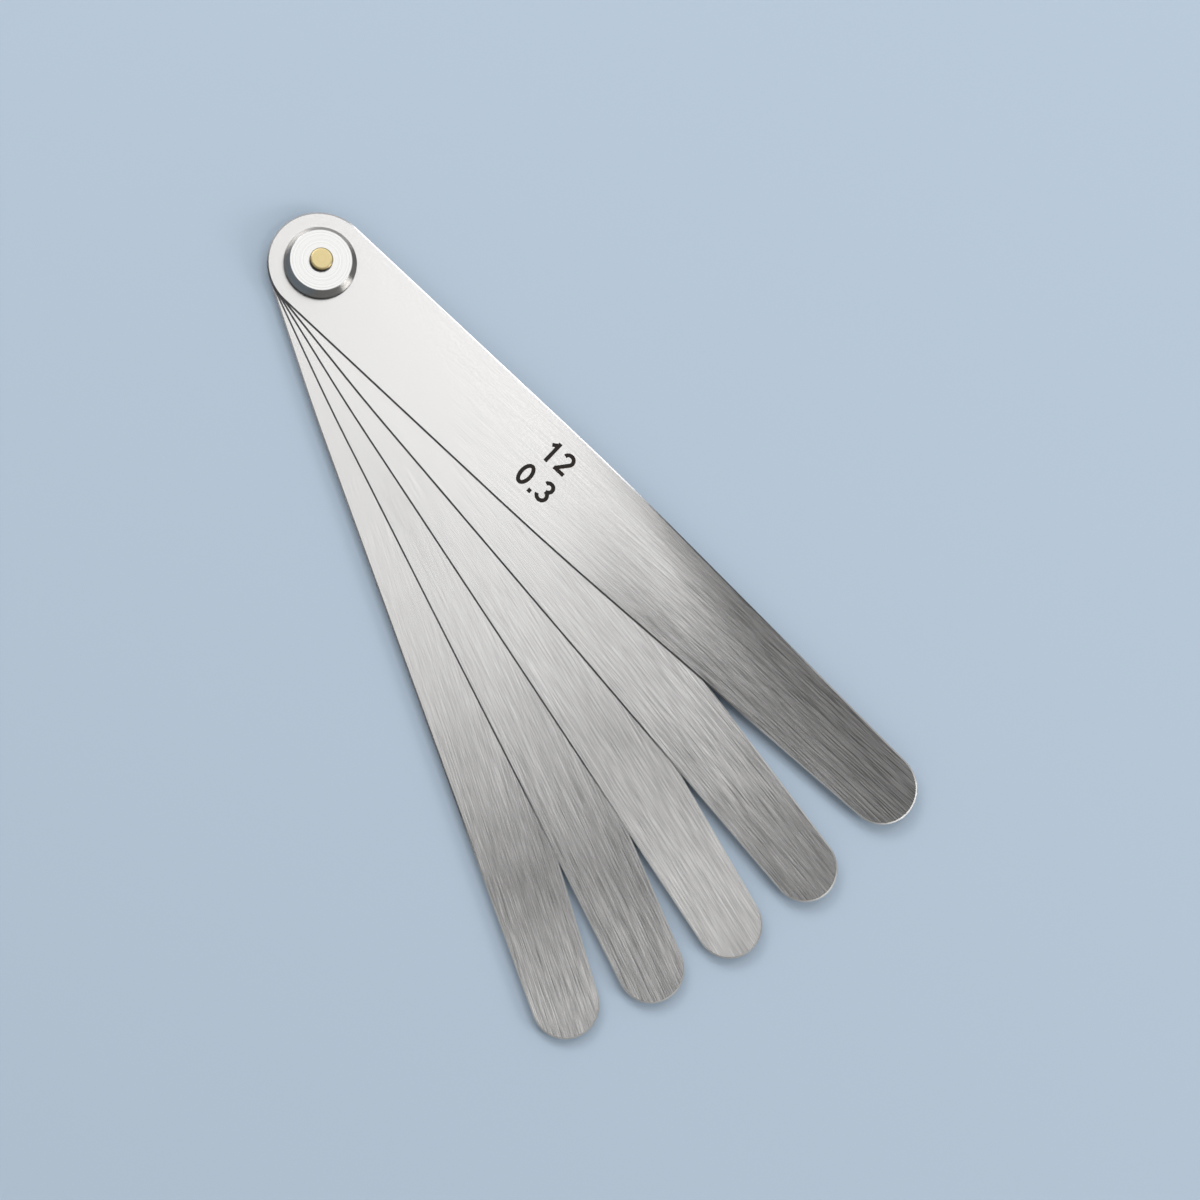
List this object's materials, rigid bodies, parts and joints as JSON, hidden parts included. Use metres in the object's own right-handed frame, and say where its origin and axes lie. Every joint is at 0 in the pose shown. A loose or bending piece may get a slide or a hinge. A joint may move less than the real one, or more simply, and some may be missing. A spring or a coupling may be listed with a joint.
{
  "type": "leaf gauge",
  "caption": "Fan of tapered spring-steel gauge leaves that turn on one brass pivot pin between two round steel collars.",
  "frame": {"origin": "on the pivot axis, in the plane of the rear collar's back face and the pin's flush head, which the gauge rests on", "axes": "+Z along the pivot axis, from the rear collar towards the front leaf and the pin's free end; +X along the middle of the front leaf, from the pivot to its tip; the other leaves fan out towards -Y"},
  "size_m": [0.2286, 0.123, 0.0083],
  "materials": {
    "leaf_steel": "hardened spring steel strip, ground and brushed lengthwise, satin",
    "collar_steel": "turned bright steel, fine concentric tool marks",
    "pin_brass": "turned yellow brass, polished end",
    "mark_ink": "dark etched and filled size numbers, matt"
  },
  "bodies": {
    "pivot": {"pivot_pin": "pin_brass", "front_collar": "collar_steel", "rear_collar": "collar_steel"},
    "leaf_12": {"leaf_12_thou": "leaf_steel"},
    "leaf_10": {"leaf_10_thou": "leaf_steel"},
    "leaf_8": {"leaf_8_thou": "leaf_steel"},
    "leaf_7": {"leaf_7_thou": "leaf_steel"},
    "leaf_5": {"leaf_5_thou": "leaf_steel"}
  },
  "joints": [
    {"name": "leaf_12_turn", "type": "hinge", "parent": "pivot", "child": "leaf_12", "pos_m": [0, 0, 0.003], "axis": [0, 0, 1], "continuous": true},
    {"name": "leaf_10_turn", "type": "hinge", "parent": "pivot", "child": "leaf_10", "pos_m": [0, 0, 0.003], "axis": [0, 0, 1], "continuous": true},
    {"name": "leaf_8_turn", "type": "hinge", "parent": "pivot", "child": "leaf_8", "pos_m": [0, 0, 0.003], "axis": [0, 0, 1], "continuous": true},
    {"name": "leaf_7_turn", "type": "hinge", "parent": "pivot", "child": "leaf_7", "pos_m": [0, 0, 0.003], "axis": [0, 0, 1], "continuous": true},
    {"name": "leaf_5_turn", "type": "hinge", "parent": "pivot", "child": "leaf_5", "pos_m": [0, 0, 0.003], "axis": [0, 0, 1], "continuous": true}
  ]
}
